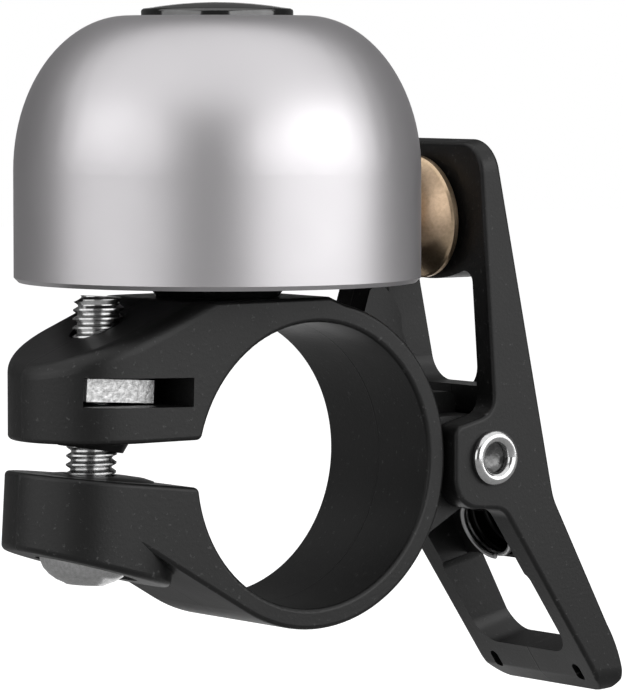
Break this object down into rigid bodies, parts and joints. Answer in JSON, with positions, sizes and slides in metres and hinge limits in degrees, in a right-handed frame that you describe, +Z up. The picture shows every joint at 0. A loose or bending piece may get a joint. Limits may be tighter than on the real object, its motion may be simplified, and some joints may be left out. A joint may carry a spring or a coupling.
{
  "type": "bicycle bell",
  "caption": "Small bicycle bell on a handlebar clamp, with a satin silver dome and a sprung lever that swings a brass hammer against it.",
  "frame": {"origin": "centre of the handlebar clamp's bore, half way along it", "axes": "+Y along the handlebar; +X from the bore to the striker lever; +Z up through the bell, from the clamp to the dome's top"},
  "size_m": [0.0547, 0.0318, 0.0563],
  "materials": {
    "black_plastic": "fine satin moulding",
    "bell_silver": "satin silver plating",
    "dark_chrome": "glossy dark",
    "gloss_black": "glossy",
    "zinc_steel": "bright zinc plating",
    "bright_steel": "polished",
    "brass": "satin turned",
    "black_rubber": "matte"
  },
  "bodies": {
    "bracket": {"clamp_bracket": "black_plastic", "bell_dome": "bell_silver", "dome_pad": "black_rubber", "dome_post": "gloss_black", "post_insert": "brass", "dome_screw": "dark_chrome", "square_nut": "zinc_steel"},
    "lever": {"striker_lever": "black_plastic", "hammer": "brass", "hammer_screw": "zinc_steel", "pivot_rivet": "bright_steel", "return_spring": "bright_steel"},
    "screw": {"clamp_screw": "zinc_steel"}
  },
  "joints": [
    {"name": "lever_pivot", "type": "hinge", "parent": "bracket", "child": "lever", "pos_m": [0.017, 0, -0.0002], "axis": [0, 1, 0], "range_deg": [-4.5, 10], "stiffness_Nm_per_rad": 0.15, "deforming": ["return_spring"]},
    {"name": "clamp_screw_turn", "type": "hinge", "parent": "bracket", "child": "screw", "pos_m": [-0.01665, 0, 0.002], "axis": [0.061, 0, 0.9981], "continuous": true}
  ]
}
